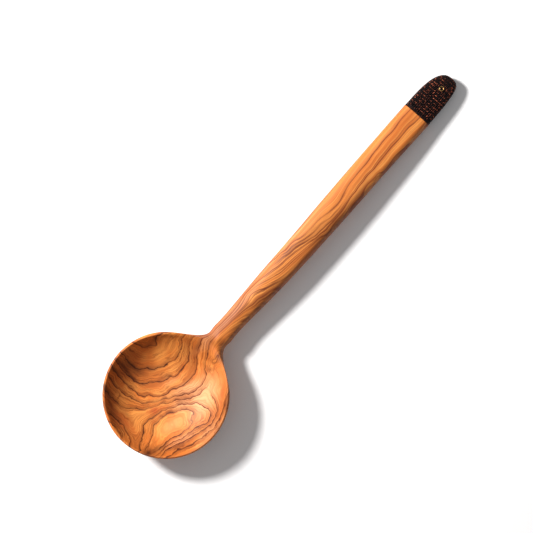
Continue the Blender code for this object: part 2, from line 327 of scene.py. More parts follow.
# The figure. Olive grows in close, restless rings, and each dark line is where a ring was cut
# through. They are drawn here as seen from above, in mm from the middle of the bowl, each with its
# ring number, and a thin plate bent through these lines gives the ring numbers in between.
RINGS = [
    (0.0, [(12, 34), (13, 30.5), (16, 28), (18.8, 25.4), (21.5, 27.6), (24, 28.6)]),
    (-0.5, [(17, 33), (25, 33)]),
    (0.5, [(16, 20), (25, 20)]),
    (1.0, [
        (2, 39), (1, 34), (-0.5, 30), (0, 25), (2, 21.5), (4, 20), (6, 17), (12, 13.5), (18, 11.5),
        (24, 11),
    ]),
    (1.0, [(28, 12.5), (31, 15), (35, 17)]),
    (2.0, [
        (-4, 38), (-5.5, 33), (-6.5, 28), (-7, 22), (-6.8, 19), (-5, 15.5), (-2, 13.5), (2, 9.5),
        (7, 6.5),
    ]),
    (2.0, [(10, 6), (11, 4), (16, 3.5), (22, 3.8), (27, 6), (32, 10), (38, 12.5)]),
    (3.0, [
        (-8, 38), (-9.5, 34), (-11, 29), (-11.8, 24), (-11.5, 20), (-12, 14), (-10.5, 10),
        (-8, 8.5), (-6.5, 5),
    ]),
    (3.0, [
        (-3, 2), (1, 0.3), (5, -0.3), (8, -2.5), (13, -3.7), (18, -4.2), (22, -4), (25, -2),
        (30, 1.5), (35, 5),
    ]),
    (3.0, [
        (39, 7), (45, 6.5), (80, 6.2), (85, 5.9), (91, 5), (97, 3.2), (104, 1.5), (110, 0.3),
        (116, -0.5),
    ]),
    (3.0, [
        (122, -1.8), (128, -3.3), (135, -5), (142, -6), (150, -6.2), (158, -5.8), (165, -5),
        (172, -4.8),
    ]),
    (3.0, [
        (180, -4.3), (190, -4.2), (197, -3.6), (206, -3.1), (215, -3.5), (224, -3.2), (230, -3.5),
        (237, -4.2),
    ]),
    (4.0, [
        (-13, 37), (-15, 32), (-16.5, 28), (-17, 25), (-16.8, 22), (-17.2, 18), (-16, 14),
        (-15, 10), (-14.5, 7.5),
    ]),
    (4.0, [
        (-12, 5.5), (-9, 2.5), (-5, 0.3), (-1, -2.5), (4, -6), (9, -9.5), (13, -11.5), (17, -12.2),
        (21, -11.7),
    ]),
    (4.0, [
        (25, -10), (28, -7), (33, -3.5), (37, -1), (40, 1), (45, 1.7), (49, 1.6), (55, 0.8),
        (62, 0), (70, -1.2),
    ]),
    (4.0, [
        (78, -3), (86, -4.5), (95, -6.5), (103, -8.3), (115, -9), (135, -8.3), (150, -9), (165, -8),
        (180, -7),
    ]),
    (4.0, [(190, -7.5), (205, -8), (237, -8.5)]),
    (5.0, [
        (-20, 34), (-22, 30), (-23.3, 25), (-23.7, 20), (-23, 14.5), (-21.5, 11.5), (-19, 9),
        (-17.5, 5.5),
    ]),
    (5.0, [
        (-14, 3.5), (-10, 0.5), (-6, -1.5), (0, -6), (5, -10), (10, -13), (17, -14.5), (23, -14.5),
        (30, -10),
    ]),
    (5.0, [(35, -6), (40, -7), (-30, -22), (-25, -23), (-20, -25.5), (-14, -28), (-8, -29.5)]),
    (6.0, [(-31.5, 20), (-31.5, 12), (-33, 5), (-34.5, 0), (-36.5, -3)]),
    (6.0, [
        (-36, -10), (-34, -8), (-29, -6), (-26, -3.5), (-24, -2), (-22, -1.8), (-18, -2.5),
        (-13, -4), (-8, -6),
    ]),
    (6.0, [
        (-4, -8.5), (2, -12), (6, -15.5), (9, -19), (10, -22), (10.3, -26), (10, -28), (7, -29.5),
        (4, -30),
    ]),
    (6.0, [
        (1, -29.3), (-3, -27.5), (-9, -26.3), (-14, -25), (-20, -22.5), (-25, -21), (-31, -20.5),
        (-34, -19),
    ]),
    (7.0, [(-35.5, 18), (-35, 13), (-35.2, 9), (-36.5, 4.5), (-39, 2.5)]),
    (7.0, [
        (-35.5, -13), (-31, -12.5), (-28, -11), (-24, -9.5), (-19.5, -6.8), (-15, -6.8), (-12, -7),
        (-8, -9),
    ]),
    (7.0, [
        (-4, -11.5), (-1, -13), (1.5, -16), (2.8, -18.8), (0, -20), (-2, -21.5), (-2, -24),
        (-5, -24), (-7, -24.2),
    ]),
    (7.0, [(-14, -22.5), (-25, -20), (-33, -17)]),
    (7.5, [(-24, -15), (-12, -15)]),
    (5.5, [(-30, 2)]),
    (4.0, [
        (-25, -27.3), (-21, -27.7), (-17, -30), (-10, -33), (0, -35), (6, -35.3), (12, -34),
        (18, -32),
    ]),
    (3.5, [(-27, -29.5), (-20, -33.5), (-10, -36.5), (0, -38)]),
    (4.6, [(22, -20), (30, -14)]),
    (4.3, [(26, -24), (34, -12)]),
    (1.2, [(45, 11), (80, 10.5), (120, 10)]),
    (2.0, [
        (110, 6.3), (117, 4.5), (127, 2.5), (135, 1.3), (145, 0.5), (150, -0.3), (157, -1),
        (165, 0), (173, 1.3),
    ]),
    (2.0, [
        (180, 1.6), (190, 1.8), (198, 2.6), (206, 3.2), (215, 3), (222, 3.6), (228, 4), (237, 3.8),
    ]),
    (2.5, [
        (104, 6.2), (112, 4.5), (120, 2.5), (125, 1), (135, -2.5), (143, -2.7), (150, -4.3),
        (158, -4.2),
    ]),
    (2.5, [
        (165, -3.2), (175, -2), (185, -1.5), (195, -1), (205, -0.6), (215, -0.5), (225, 0.3),
        (236, 0.8),
    ]),
    (1.3, [(150, 7), (190, 8), (237, 8.5)]),
    (4.5, [(150, -12), (190, -12), (237, -12)]),
]
SAPWOOD_LEAN = (0.35, 0.55)  # how far a ring slides along X and Y for each mm deeper into the wood
PLATE_EASE = 2.0  # how freely the plate may miss its pins, which keeps it from kinking
BATCH = 20000  # places worked out at a time
NEARLY_NOTHING = 1e-9  # keeps the logarithm finite at a pin
FLATTEST = 0.02  # the least slope of the plate, in rings a mm


def thin_plate(squared):
    """The bending of a thin plate at a squared distance from one of its pins."""
    return squared * np.log(squared + NEARLY_NOTHING)


def bend_plate():
    """Solves for the thin plate through the drawn rings. Returns its pins, weights and plane."""
    pins = np.array([point for _, line in RINGS for point in line], float)
    heights = np.array([number for number, line in RINGS for _ in line], float)
    squared = ((pins[:, None] - pins[None]) ** 2).sum(2)
    plane = np.column_stack([np.ones(len(pins)), pins])
    ease = PLATE_EASE * np.eye(len(pins))
    system = np.block([[thin_plate(squared) + ease, plane], [plane.T, np.zeros((3, 3))]])
    solved = np.linalg.solve(system, np.concatenate([heights, np.zeros(3)]))
    return pins, solved[:-3], solved[-3:]


def ring_number(places, plate):
    """The ring number at each place, and how many mm there are to one ring there."""
    pins, weights, plane = plate
    found, slopes = np.empty(len(places)), np.empty(len(places))
    for start in range(0, len(places), BATCH):
        batch = slice(start, start + BATCH)
        part = places[batch]
        away = part[:, None] - pins[None]
        squared = (away**2).sum(2)
        found[batch] = thin_plate(squared) @ weights + plane[0] + part @ plane[1:]
        bend = 2 * (np.log(squared + NEARLY_NOTHING) + 1) * weights
        slope = (away * bend[:, :, None]).sum(1) + plane[1:]
        slopes[batch] = np.hypot(slope[:, 0], slope[:, 1])
    return found, 1 / np.maximum(slopes, FLATTEST)


NECK_BEGINS = 36  # the X, in mm, where the bowl gives way to the neck
NECK_REACH = 10  # and over how many mm


def upper_surface(x, y):
    """How high the spoon's upper face is over each place, in mm, near enough to tell top from
    underside."""
    out = np.minimum(np.hypot(x, y) / (RIM_RADIUS / MM), 1.0)
    shares = np.array([(0.0, HOLLOW_BOTTOM), *WALL["hollow"], *WALL["crest"]])
    hollow = np.interp(out, shares[:, 0], shares[:, 1]) * RIM_HEIGHT / MM
    sections = np.array(HANDLE)
    top = np.interp(x, sections[:, 0], sections[:, 4] + sections[:, 2])
    share = np.clip((x - NECK_BEGINS) / NECK_REACH, 0, 1)
    return hollow * (1 - share) + top * share


# Spots in the wood, in mm: X, Y, how far each reaches along and across, the lean of its long axis
# in degrees, and how strong it is
SPOTS = {
    # The painted shade of the handle's -Y side is added to this smoke mask further down
    "smoke_and_side_shade": [  # brown smoke
        (-2, 30, 9, 2.6, 97, 0.9),
        (-1, 22, 6, 2.6, 115, 0.85),
        (5, 18.5, 6, 2.6, -40, 0.75),
        (14, 14, 8, 2.0, -15, 0.35),
        (5, 33, 6, 3, 95, 0.4),
        (-9, 33, 7, 2.0, 105, 0.7),
        (-22, 30, 8, 2.6, 65, 0.8),
        (-29, 19, 9, 3.0, 75, 0.8),
        (-26, 10, 6, 1.6, 80, 0.45),
        (7, 8.5, 5, 1.6, -20, 0.6),
        (-3, 11, 6, 1.8, -40, 0.4),
        (25, 1, 9, 2.4, 25, 0.6),
        (33, 6, 8, 2.2, 20, 0.7),
        (19, 28.5, 5, 1.6, -10, 0.5),
        (-34, -15, 3.5, 2.5, 0, 1.0),
        (-29, -18, 7, 2.0, -18, 0.7),
        (-19, -28, 8, 2.0, -28, 0.5),
        (0, -36, 14, 2.0, 0, 0.3),
        (22, -31, 9, 2.0, 30, 0.7),
        (44, 1, 7, 2.0, 10, 0.35),
        (82, -4, 10, 1.6, -14, 0.9),
        (112, 2.6, 8, 0.6, -14, 0.7),
        (126, 0.4, 14, 0.6, -13, 0.5),
        (142, -1.4, 8, 0.5, -8, 0.5),
        (96, -4.2, 8, 1.0, -16, 0.7),
        (150, -9, 16, 1.8, 0, 0.9),
        (172, -7.4, 12, 1.4, 3, 0.8),
    ],
    "blush": [  # red flushes
        (-13, -0.5, 3.2, 2.2, -35, 1.0),
        (-8, -3.5, 5, 1.6, -35, 0.5),
        (24, -25, 10, 2.2, 30, 0.6),
        (-30, 8, 9, 3.5, 85, 0.7),
        (60, 3, 25, 3, -4, 0.4),
        (120, -5, 18, 3, -8, 0.45),
    ],
    # Golden ground; the spots on the hollow's +Y half, where the rim shades it, are painted light
    "gold_and_painted_light": [  # clear golden ground
        (-13, -15, 17, 7, -14, 0.45),
        (17, 20, 8, 5, 20, 1.0),
        (-24, 0, 8, 5, 60, 0.5),
        (26, 6.5, 6, 1.5, 30, 0.6),
        (-20, 21, 7, 3.5, 80, 0.9),
        (-10, 20, 8, 2.5, 95, 0.8),
        (10, 14, 8, 2, -25, 0.6),
        (8, 26, 4, 3, 0, 0.5),
        (25, 18, 6, 4, 30, 0.8),
        (24, 8, 8, 1.5, 20, 0.5),
        (85, 1, 30, 5, -6, 0.5),
        (130, -1, 42, 6, -3, 0.85),
        (190, 6, 40, 2.0, 0, 0.2),
    ],
    # Bleached ground, and on the hollow's -Y half, which faces the softbox, painted sheen as well
    "pale_and_sheen": [  # bleached ground
        (14, -18, 17, 10, 15, 0.9),
        (-12, -15, 12, 5, -14, 0.35),
        (2, -12, 9, 6, -30, 0.7),
        (12, -8, 16, 5, -25, 0.7),
        (8, 3, 8, 3, -20, 0.4),
        (60, 4.5, 25, 3, 0, 0.9),
        (-14, -25.5, 13, 2.6, -22, 0.6),
        (0, -35, 14, 3.5, 0, 0.6),
        (110, 6.8, 50, 1.6, 0, 0.6),
    ],
    "plain": [  # calm ground, without streaks
        (-13, -15.5, 15, 6, -14, 1.0),
        (24, -17, 13, 9, 15, 0.9),
        (17, 21, 9, 7, 10, 0.7),
        (-26, 2, 6, 7, 0, 0.5),
        (190, 7, 70, 3.6, 0, 1.0),
        (205, -6.6, 40, 2.0, 0, 0.8),
        (195, 0.6, 55, 1.2, 0, 0.5),
        (7, -20, 3.5, 6, 0, 0.55),
        (14, -13, 9, 3, -30, 0.5),
    ],
    "crowded": [  # fine ring lines crowd together
        (88, -1, 38, 5, -6, 1.0),
        (122, 0, 24, 3.4, -8, 1.0),
        (140, -5.5, 22, 3.0, -3, 0.8),
        (24, 9, 14, 3, 22, 0.7),
        (5, -31, 26, 4, 0, 0.7),
    ],
    "black_spots": [  # knots and smears, as black as a ring line
        (-33.5, -15.2, 2.4, 1.3, -10, 1.0),
        (-30.5, -16.6, 3.0, 0.6, -25, 0.8),
        (-4.6, 31, 7, 1.2, 79, 1.0),
        (-6.3, 23, 4, 0.9, 85, 0.9),
        (-9.3, 35, 5, 0.8, 75, 0.9),
        (-15, 33, 6, 0.7, 72, 0.7),
        (-0.6, 28.5, 5, 0.7, 88, 0.9),
        (-22, 29, 6, 0.9, 62, 0.6),
        (-26, 24, 5, 0.7, 65, 0.6),
        (17.5, 3.6, 2.4, 0.5, -8, 0.8),
        (9.5, 6.4, 1.6, 0.7, -35, 0.85),
        (-20.5, 21.4, 1.8, 0.4, 5, 0.7),
        (-3.3, -22, 0.7, 2.2, 0, 0.6),
        (30, 22, 0.5, 2.0, -20, 0.5),
        (86, -3.7, 3.0, 0.5, -18, 0.8),
    ],
}
# Painted shade darkens the handle's -Y side, which faces away from the softbox: at each X, the Y
# where it begins, both in mm
SHADED_SIDE = [
    (37, -10), (41, -7.5), (45, -5.7), (65, -5.0), (90, -6.0),
    (110, -7.2), (150, -8.2), (190, -9.6), (237, -10),
]
SHADED_SIDE_EDGE = 0.8  # mm from pale to dark
SHADED_SIDE_FADE_IN = 3  # mm along the neck
SHADED_SIDE_DARKNESS = 0.75  # how dark it is, where 1 is the darkest smoke
GRAIN_STRAIGHTENS = (32, 14)  # the X where the grain begins to run straight, and over how many mm
SPACING_LIMITS = (1.0, 30.0)  # mm from one ring to the next


def patches(x, y, spots):
    """How much each place lies within a few soft oval spots."""
    total = np.zeros(len(x))
    for spot_x, spot_y, length, width, lean, strength in spots:
        c, s = math.cos(math.radians(lean)), math.sin(math.radians(lean))
        along = ((x - spot_x) * c + (y - spot_y) * s) / length
        across = ((y - spot_y) * c - (x - spot_x) * s) / width
        total = np.maximum(total, strength * np.exp(-(along**2) - across**2))
    return total


def draw_figure(body):
    """Stores what the wood's finish needs at every point of the surface, and names it."""
    co = np.empty(len(body.data.vertices) * 3)
    body.data.vertices.foreach_get("co", co)
    x, y, z = (co.reshape(-1, 3) / MM).T
    deep = np.maximum(upper_surface(x, y) - z, 0)
    places = np.column_stack([x + SAPWOOD_LEAN[0] * deep, y + SAPWOOD_LEAN[1] * deep])
    found, spacing = ring_number(places, bend_plate())
    figure = {name: patches(*places.T, spots) for name, spots in SPOTS.items()}
    # Painted shade on the handle's -Y side, away from the softbox, joins the smoke
    begins = np.interp(x, *np.array(SHADED_SIDE).T)
    side_shade = np.clip((begins - y) / SHADED_SIDE_EDGE, 0, 1)
    side_shade *= np.clip((x - NECK_BEGINS) / SHADED_SIDE_FADE_IN, 0, 1)
    figure["smoke_and_side_shade"] = np.maximum(figure["smoke_and_side_shade"], SHADED_SIDE_DARKNESS * side_shade)
    figure["in_handle"] = np.clip((x - GRAIN_STRAIGHTENS[0]) / GRAIN_STRAIGHTENS[1], 0, 1)
    figure["ring"] = found
    figure["ring_spacing"] = np.clip(spacing, *SPACING_LIMITS)
    for name, values in figure.items():
        attribute = body.data.attributes.new(name, "FLOAT", "POINT")
        attribute.data.foreach_set("value", np.asarray(values, np.float32))
    return list(figure)


FIGURE = draw_figure(spoon)


def srgb(code):
    """A linear colour from an sRGB hex code."""
    parts = [int(code[i : i + 2], 16) / 255 for i in (0, 2, 4)]
    return (*[p / 12.92 if p <= 0.04045 else ((p + 0.055) / 1.055) ** 2.4 for p in parts], 1.0)


def add(tree, kind, inputs=(), out=0, **settings):
    """Adds a node with its settings, and gives back one of its outputs. inputs, in order or by
    name, are values or the outputs of other nodes."""
    node = tree.nodes.new("ShaderNode" + kind)
    for name, value in settings.items():
        setattr(node, name, value)
    named = inputs.items() if isinstance(inputs, dict) else enumerate(inputs)
    for socket, value in named:
        if isinstance(value, bpy.types.NodeSocket):
            tree.links.new(value, node.inputs[socket])
        else:
            node.inputs[socket].default_value = value
    return node.outputs[out]


def new_finish(name):
    """An empty material: its tree and its shader."""
    made = bpy.data.materials.new(name)
    made.use_nodes = True
    return made, made.node_tree, made.node_tree.nodes["Principled BSDF"]


LIGHT_WOOD = "E29347"
MID_WOOD = "CE732D"
RED_WOOD = "C76625"
# Golden ground, also the painted light in the rim's shade
GOLDEN_AND_PAINTED_LIGHT_WOOD = "E89849"
# Pale ground, also the painted sheen on the hollow's lit wall
PALE_AND_SHEEN_WOOD = "EDB482"
BROWN_WOOD = "96501F"
FLUSHED_WOOD = "A23F16"
# Smoke brown, also used for the painted shade on the handle's -Y side
SMOKE_AND_SHADE_WOOD = "582C16"
BROWN_LINE = "62290C"
BLACK_LINE = "3E1808"
RUST_LINE = "6E2C0D"
# Painted shade: the tenon's wood under the wires, near-black
SHADED_TENON = "080405"
GRAIN_DRAWN_FROM = 40 * MM
GRAIN_DRAWN_OUT = 4  # how many times longer the figure is along the handle
STREAK_LENGTH = 25 * MM
TENON_SHADE_EDGE = (-0.1 * MM, 0.05 * MM)  # where the tenon's painted shade begins and is full, from the mouth


def oiled_olive_wood():
    """Olive wood, sanded fine and rubbed with oil: a warm honey ground with brown-black ring lines
    that fade on one side, brown smoke, painted shade along the handle's -Y side, painted light in
    the rim's shade, painted sheen on the hollow's lit wall, a tenon painted near-black as shade
    between the wires, and a soft satin shine that is never wet."""
    finish, tree, shader = new_finish("oiled_olive_wood")
    stored = {name: add(tree, "Attribute", out="Fac", attribute_name=name) for name in FIGURE}

    # The fibre runs along the handle, so the figure is drawn out there
    at = add(tree, "TexCoord", out="Object")
    x = add(tree, "SeparateXYZ", [at], out="X")
    past_bowl = add(tree, "Math", [x, GRAIN_DRAWN_FROM], operation="SUBTRACT")
    past_bowl = add(tree, "Math", [past_bowl, 0.0], operation="MAXIMUM")
    shorter = add(tree, "Math", [past_bowl, 1 / GRAIN_DRAWN_OUT - 1], operation="MULTIPLY")
    place = add(tree, "VectorMath", [at, add(tree, "CombineXYZ", [shorter])])
    clouds = {}
    for size, detail in ((1.5, 2.0), (4.5, 1.5), (6.0, 3.0), (8.0, 2.0), (12.0, 2.0), (20.0, 2.0)):
        cloud = {"Vector": place, "Scale": 1 / (size * MM), "Detail": detail}
        clouds[size] = add(tree, "TexNoise", cloud)

    # Rings jog by up to 0.6 mm every 4.5 mm, and tremble by 0.15 mm: half as much in the handle's
    # grain
    jog = add(tree, "Math", [clouds[4.5], 2.6, -1.65], operation="MULTIPLY_ADD")
    wander = add(tree, "Math", [clouds[1.5], 0.7, jog], operation="MULTIPLY_ADD")
    calm = add(tree, "Math", [stored["in_handle"], -0.45, 1.0], operation="MULTIPLY_ADD")
    wander = add(tree, "Math", [wander, calm], operation="MULTIPLY")
    wander = add(tree, "Math", [wander, stored["ring_spacing"]], operation="DIVIDE")
    ring = add(tree, "Math", [stored["ring"], wander])

    # Streaks change fast from ring to ring and slowly along a ring, so they follow the figure
    along = add(tree, "VectorMath", [place, [1 / STREAK_LENGTH] * 3], operation="MULTIPLY")
    streaks = {}
    for name, a_ring, detail in (("broad", 4.0, 3.0), ("narrow", 13.0, 4.0), ("hair", 36.0, 3.0)):
        number = add(tree, "Math", [ring, a_ring], operation="MULTIPLY")
        across = add(tree, "CombineXYZ", [number])
        grain = {"Vector": add(tree, "VectorMath", [along, across]), "Scale": 1.0, "Detail": detail}
        streaks[name] = add(tree, "TexNoise", {**grain, "Roughness": 0.65})

    def ring_lines(a_ring, sway, width, fade, shadow, where):
        """Lines, a_ring to each ring, swayed by the streaks. Sizes in mm: a hard edge, and a shadow
        that fades on its outer side. where is a share that keeps or drops them."""
        number = add(tree, "Math", [ring, a_ring], operation="MULTIPLY")
        number = add(tree, "Math", [streaks["broad"], sway, number], operation="MULTIPLY_ADD")
        gap = add(tree, "Math", [stored["ring_spacing"], a_ring], operation="DIVIDE")
        past = add(tree, "Math", [number], operation="FRACT")
        after = add(tree, "Math", [past, gap], operation="MULTIPLY")
        before = add(tree, "Math", [gap, after], operation="SUBTRACT")
        edge = [after, width * 0.25, width * 0.75, 1.0, 0.0]
        line = add(tree, "MapRange", edge, interpolation_type="SMOOTHSTEP")
        for reach, depth in ((width * 0.5, 1.0), (fade, shadow)):
            limits = [before, 0.0, reach, depth, 0.0]
            side = add(tree, "MapRange", limits, interpolation_type="SMOOTHSTEP")
            line = add(tree, "Math", [line, side], operation="MAXIMUM")
        return add(tree, "Math", [line, where], operation="MULTIPLY")

    combed = add(tree, "Math", [stored["plain"], -0.75, 1.0], operation="MULTIPLY_ADD")
    marked = add(tree, "MapRange", [stored["plain"], 0.55, 0.95, 1.0, 0.0])
    crowded = stored["crowded"]
    banded = add(tree, "Math", [crowded, stored["in_handle"]], operation="MULTIPLY")
    # Where the tenon's painted shade lies, just past the mouth
    tenon_shade = add(tree, "MapRange", [x, MOUTH_X + TENON_SHADE_EDGE[0], MOUTH_X + TENON_SHADE_EDGE[1], 0.0, 1.0])
    main = ring_lines(a_ring=1.0, sway=0.0, width=0.85, fade=2.2, shadow=0.45, where=marked)
    thin = ring_lines(a_ring=3.0, sway=1.4, width=0.65, fade=0.8, shadow=0.4, where=combed)
    finest = ring_lines(a_ring=7.0, sway=2.5, width=0.5, fade=0.4, shadow=0.4, where=crowded)
    # Lines turn rust-brown in the handle, and lighter under the painted sheen
    rusty = add(tree, "Math", [stored["in_handle"], stored["pale_and_sheen"]], operation="MAXIMUM")
    line_colours = {0: rusty, 6: srgb(BLACK_LINE), 7: srgb(RUST_LINE)}
    ink = add(tree, "Mix", line_colours, out=2, data_type="RGBA")

    # Coats of colour, each over the last: what it follows, where that starts and ends, how strong
    # it is at each end, where it may lie, and its colour. The tenon is painted near-black, as
    # painted shade in the gaps between the wires, so that none of its wood shines there.
    coats = [
        (streaks["broad"], 0.34, 0.66, 0.0, 1.0, 1.0, srgb(MID_WOOD)),
        (clouds[20.0], 0.4, 0.62, 0.0, 0.6, 1.0, srgb(RED_WOOD)),
        (clouds[6.0], 0.46, 0.64, 0.0, 0.5, calm, srgb(RED_WOOD)),
        # Golden ground, and painted light in the rim's shade
        (stored["gold_and_painted_light"], 0.0, 1.0, 0.0, 0.8, 1.0, srgb(GOLDEN_AND_PAINTED_LIGHT_WOOD)),
        # Pale ground, and painted sheen on the hollow's lit wall
        (stored["pale_and_sheen"], 0.0, 1.0, 0.0, 0.8, 1.0, srgb(PALE_AND_SHEEN_WOOD)),
        (streaks["narrow"], 0.42, 0.66, 0.0, 0.7, combed, srgb(BROWN_WOOD)),
        (streaks["hair"], 0.44, 0.66, 0.0, 0.6, combed, srgb(BROWN_WOOD)),
        (streaks["broad"], 0.52, 0.6, 0.0, 0.6, banded, srgb(BROWN_WOOD)),
        (stored["blush"], 0.0, 1.0, 0.0, 0.7, 1.0, srgb(FLUSHED_WOOD)),
        # Brown smoke, and the painted shade on the handle's -Y side
        (streaks["narrow"], 0.62, 0.38, 0.3, 1.0, stored["smoke_and_side_shade"], srgb(SMOKE_AND_SHADE_WOOD)),
        (clouds[8.0], 0.42, 0.6, 0.05, 0.6, thin, srgb(BROWN_LINE)),
        (banded, 0.0, 1.0, 0.0, 0.95, thin, srgb(BROWN_LINE)),
        (streaks["broad"], 0.6, 0.4, 0.1, 0.9, finest, srgb(BROWN_LINE)),
        (clouds[12.0], 0.32, 0.56, 0.5, 0.97, main, ink),
        (streaks["narrow"], 0.6, 0.4, 0.7, 1.0, stored["black_spots"], ink),
        # Painted shade: the tenon near-black between the wires
        (tenon_shade, 0.0, 1.0, 0.0, 1.0, 1.0, srgb(SHADED_TENON)),
    ]
    ground = srgb(LIGHT_WOOD)
    for follows, start, end, least, most, where, colour in coats:
        limits = [follows, start, end, least, most]
        share = add(tree, "MapRange", limits, interpolation_type="SMOOTHSTEP")
        share = add(tree, "Math", [share, where], operation="MULTIPLY")
        ground = add(tree, "Mix", {0: share, 6: ground, 7: colour}, out=2, data_type="RGBA")
    tree.links.new(ground, shader.inputs["Base Color"])

    shine = add(tree, "MapRange", [streaks["hair"], 0.3, 0.7, 0.52, 0.64])
    shine = add(tree, "Math", [shine, tenon_shade], operation="MAXIMUM")
    tree.links.new(shine, shader.inputs["Roughness"])
    # Open pores show as the faintest combing along the grain, less than 0.05 mm deep
    relief = add(tree, "Math", [main, -0.5, streaks["hair"]], operation="MULTIPLY_ADD")
    combing = {"Strength": 0.3, "Distance": 0.05 * MM, "Height": relief}
    tree.links.new(add(tree, "Bump", combing), shader.inputs["Normal"])
    shader.inputs["IOR"].default_value = 1.45
    shader.inputs["Specular IOR Level"].default_value = 0.32
    return finish


spoon.data.materials.clear()
spoon.data.materials.append(oiled_olive_wood())
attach(spoon, "root")
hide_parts("spoon_body")


# ---- The warp wires ------------------------------------------------------------------------------
# Forty strands of thin copper wire laid along the tenon, side by side, from the mouth to the nose.
# Each one ducks under a weft and rises over the next. Age and heat have turned most of the copper
# brown-black.

WARPS = 40
STRAND = 0.58 * MM
WEFT_PITCH = 1.1 * MM
WEFT_START = 2.35 * MM
WEAVE_MIDDLE = 0.52 * MM  # how deep the weave's middle lies below the sleeve's skin
WEAVE_RISE = 0.24 * MM
POINTS_A_CROSSING = 4
GRIME = "160A0C"
GRIME_WIDTH = 0.5 * MM
PITTING_DEPTH = 0.03 * MM
WARP_BEGINS = 0.2 * MM
WARP_ENDS = (0.84, 0.93)  # shares of the sleeve's length: every other warp stops short of the nose


def nose_lengths(samples=3000):
    """How far along the sleeve's side each angle of the nose lies, as (lengths, angles)."""
    angles = [math.pi / 2 * (i / samples) ** 2 for i in range(samples + 1)]
    lengths = [0.0]
    for before, after in zip(angles, angles[1:]):
        lengths.append(lengths[-1] + (skin(after, 0) - skin(before, 0)).length)
    return lengths, angles


LENGTHS, ANGLES = nose_lengths()
WARP_TURNS = even_angles(WARPS, MOUTH_HALF_WIDTH, MOUTH_HALF_HEIGHT, SLEEVE_FULLNESS)


def angle_at(length):
    """The nose's angle that lies a length along the sleeve from its mouth."""
    return float(np.interp(length, LENGTHS, ANGLES))


def lay_wire(name, points, finish, thickness=STRAND, closed=False):
    """A round wire along a row of points."""
    curve = bpy.data.curves.new(name, "CURVE")
    curve.dimensions = "3D"
    curve.bevel_depth = thickness / 2
    curve.bevel_resolution = 1
    curve.use_fill_caps = not closed
    spline = curve.splines.new("POLY")
    spline.points.add(len(points) - 1)
    for slot, point in zip(spline.points, points):
        slot.co = (*point, 1)
    spline.use_cyclic_u = closed
    spline.use_smooth = True
    curve.materials.append(finish)
    wire = bpy.data.objects.new(name, curve)
    bpy.context.scene.collection.objects.link(wire)
    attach(wire, "root")
    return wire


def patinated_copper(name, patina, copper, dark, patch):
    """Copper wire gone dark with age: a brown-black skin with short bright stretches, where
    handling has rubbed it back to metal. dark runs from about 0.3, all bright, to 0.7, all dark,
    and patch is how long a stretch is."""
    finish, tree, shader = new_finish(name)
    place = add(tree, "TexCoord", out="Object")
    stretch = add(tree, "TexNoise", {"Vector": place, "Scale": 1 / patch, "Detail": 1.5})
    grime = add(tree, "TexNoise", {"Vector": place, "Scale": 1 / GRIME_WIDTH, "Detail": 3.0})
    rubbed = add(tree, "MapRange", [stretch, dark - 0.06, dark + 0.1, 0.0, 1.0])
    skin_tones = {0: grime, 6: srgb(patina), 7: srgb(GRIME)}
    tone = add(tree, "Mix", skin_tones, out=2, data_type="RGBA")
    colour = add(tree, "Mix", {0: rubbed, 6: tone, 7: srgb(copper)}, out=2, data_type="RGBA")
    tree.links.new(colour, shader.inputs["Base Color"])
    roughness = add(tree, "MapRange", [rubbed, 0.0, 1.0, 0.62, 0.42])
    tree.links.new(roughness, shader.inputs["Roughness"])
    tree.links.new(rubbed, shader.inputs["Metallic"])
    shader.inputs["Specular IOR Level"].default_value = 0.12
    pitting = add(tree, "Bump", {"Strength": 0.3, "Distance": PITTING_DEPTH, "Height": grime})
    tree.links.new(pitting, shader.inputs["Normal"])
    return finish


def warp_route(i, reach):
    """Over one weft and under the next, along the tenon, as far as reach."""
    points = []
    step = WEFT_PITCH / POINTS_A_CROSSING
    for k in range(int((reach - WARP_BEGINS) / step)):
        length = WARP_BEGINS + k * step
        row = (length - WEFT_START) / WEFT_PITCH - 2 * i / WARPS
        lift = math.cos(math.pi * (i + row)) if length > WEFT_START - WEFT_PITCH else -1.0
        points.append(under_skin(angle_at(length), WARP_TURNS[i], WEAVE_MIDDLE + WEAVE_RISE * lift))
    return points


aged_copper = patinated_copper(
    "aged_copper_wire", patina="0C0607", copper="8C4A38", dark=0.6, patch=1.6 * MM
)
for i in range(WARPS):
    reach = LENGTHS[-1] * WARP_ENDS[i % 2]
    warp = lay_wire(f"woven_warp_{i + 1:02d}", warp_route(i, reach), aged_copper)
    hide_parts(f"warp_wire_{i + 1:02d}")


# ---- The weft wires ------------------------------------------------------------------------------
# Two wires wound together round the warps in one long spiral, a black enamelled one and a copper
# one. Where one passes over a warp, the other passes under it.

WEFT_ENDS = 0.99  # a share of the sleeve's length


def weft_route(phase):
    """Round and round from the mouth's binding to the middle of the nose. The two phases are 0 and
    1."""
    points = []
    crossing = 0
    length = WEFT_START + phase * WEFT_PITCH
    while length < LENGTHS[-1] * WEFT_ENDS:
        turn_place = crossing / POINTS_A_CROSSING
        i = int(turn_place) % WARPS
        share = turn_place - int(turn_place)
        here, there = WARP_TURNS[i], WARP_TURNS[(i + 1) % WARPS]
        if there < here:
            there += 2 * math.pi
        lift = math.cos(math.pi * (turn_place + phase))
        turn = here + (there - here) * share
        points.append(under_skin(angle_at(length), turn, WEAVE_MIDDLE - WEAVE_RISE * lift))
        length += 2 * WEFT_PITCH / (WARPS * POINTS_A_CROSSING)
        crossing += 1
    return points


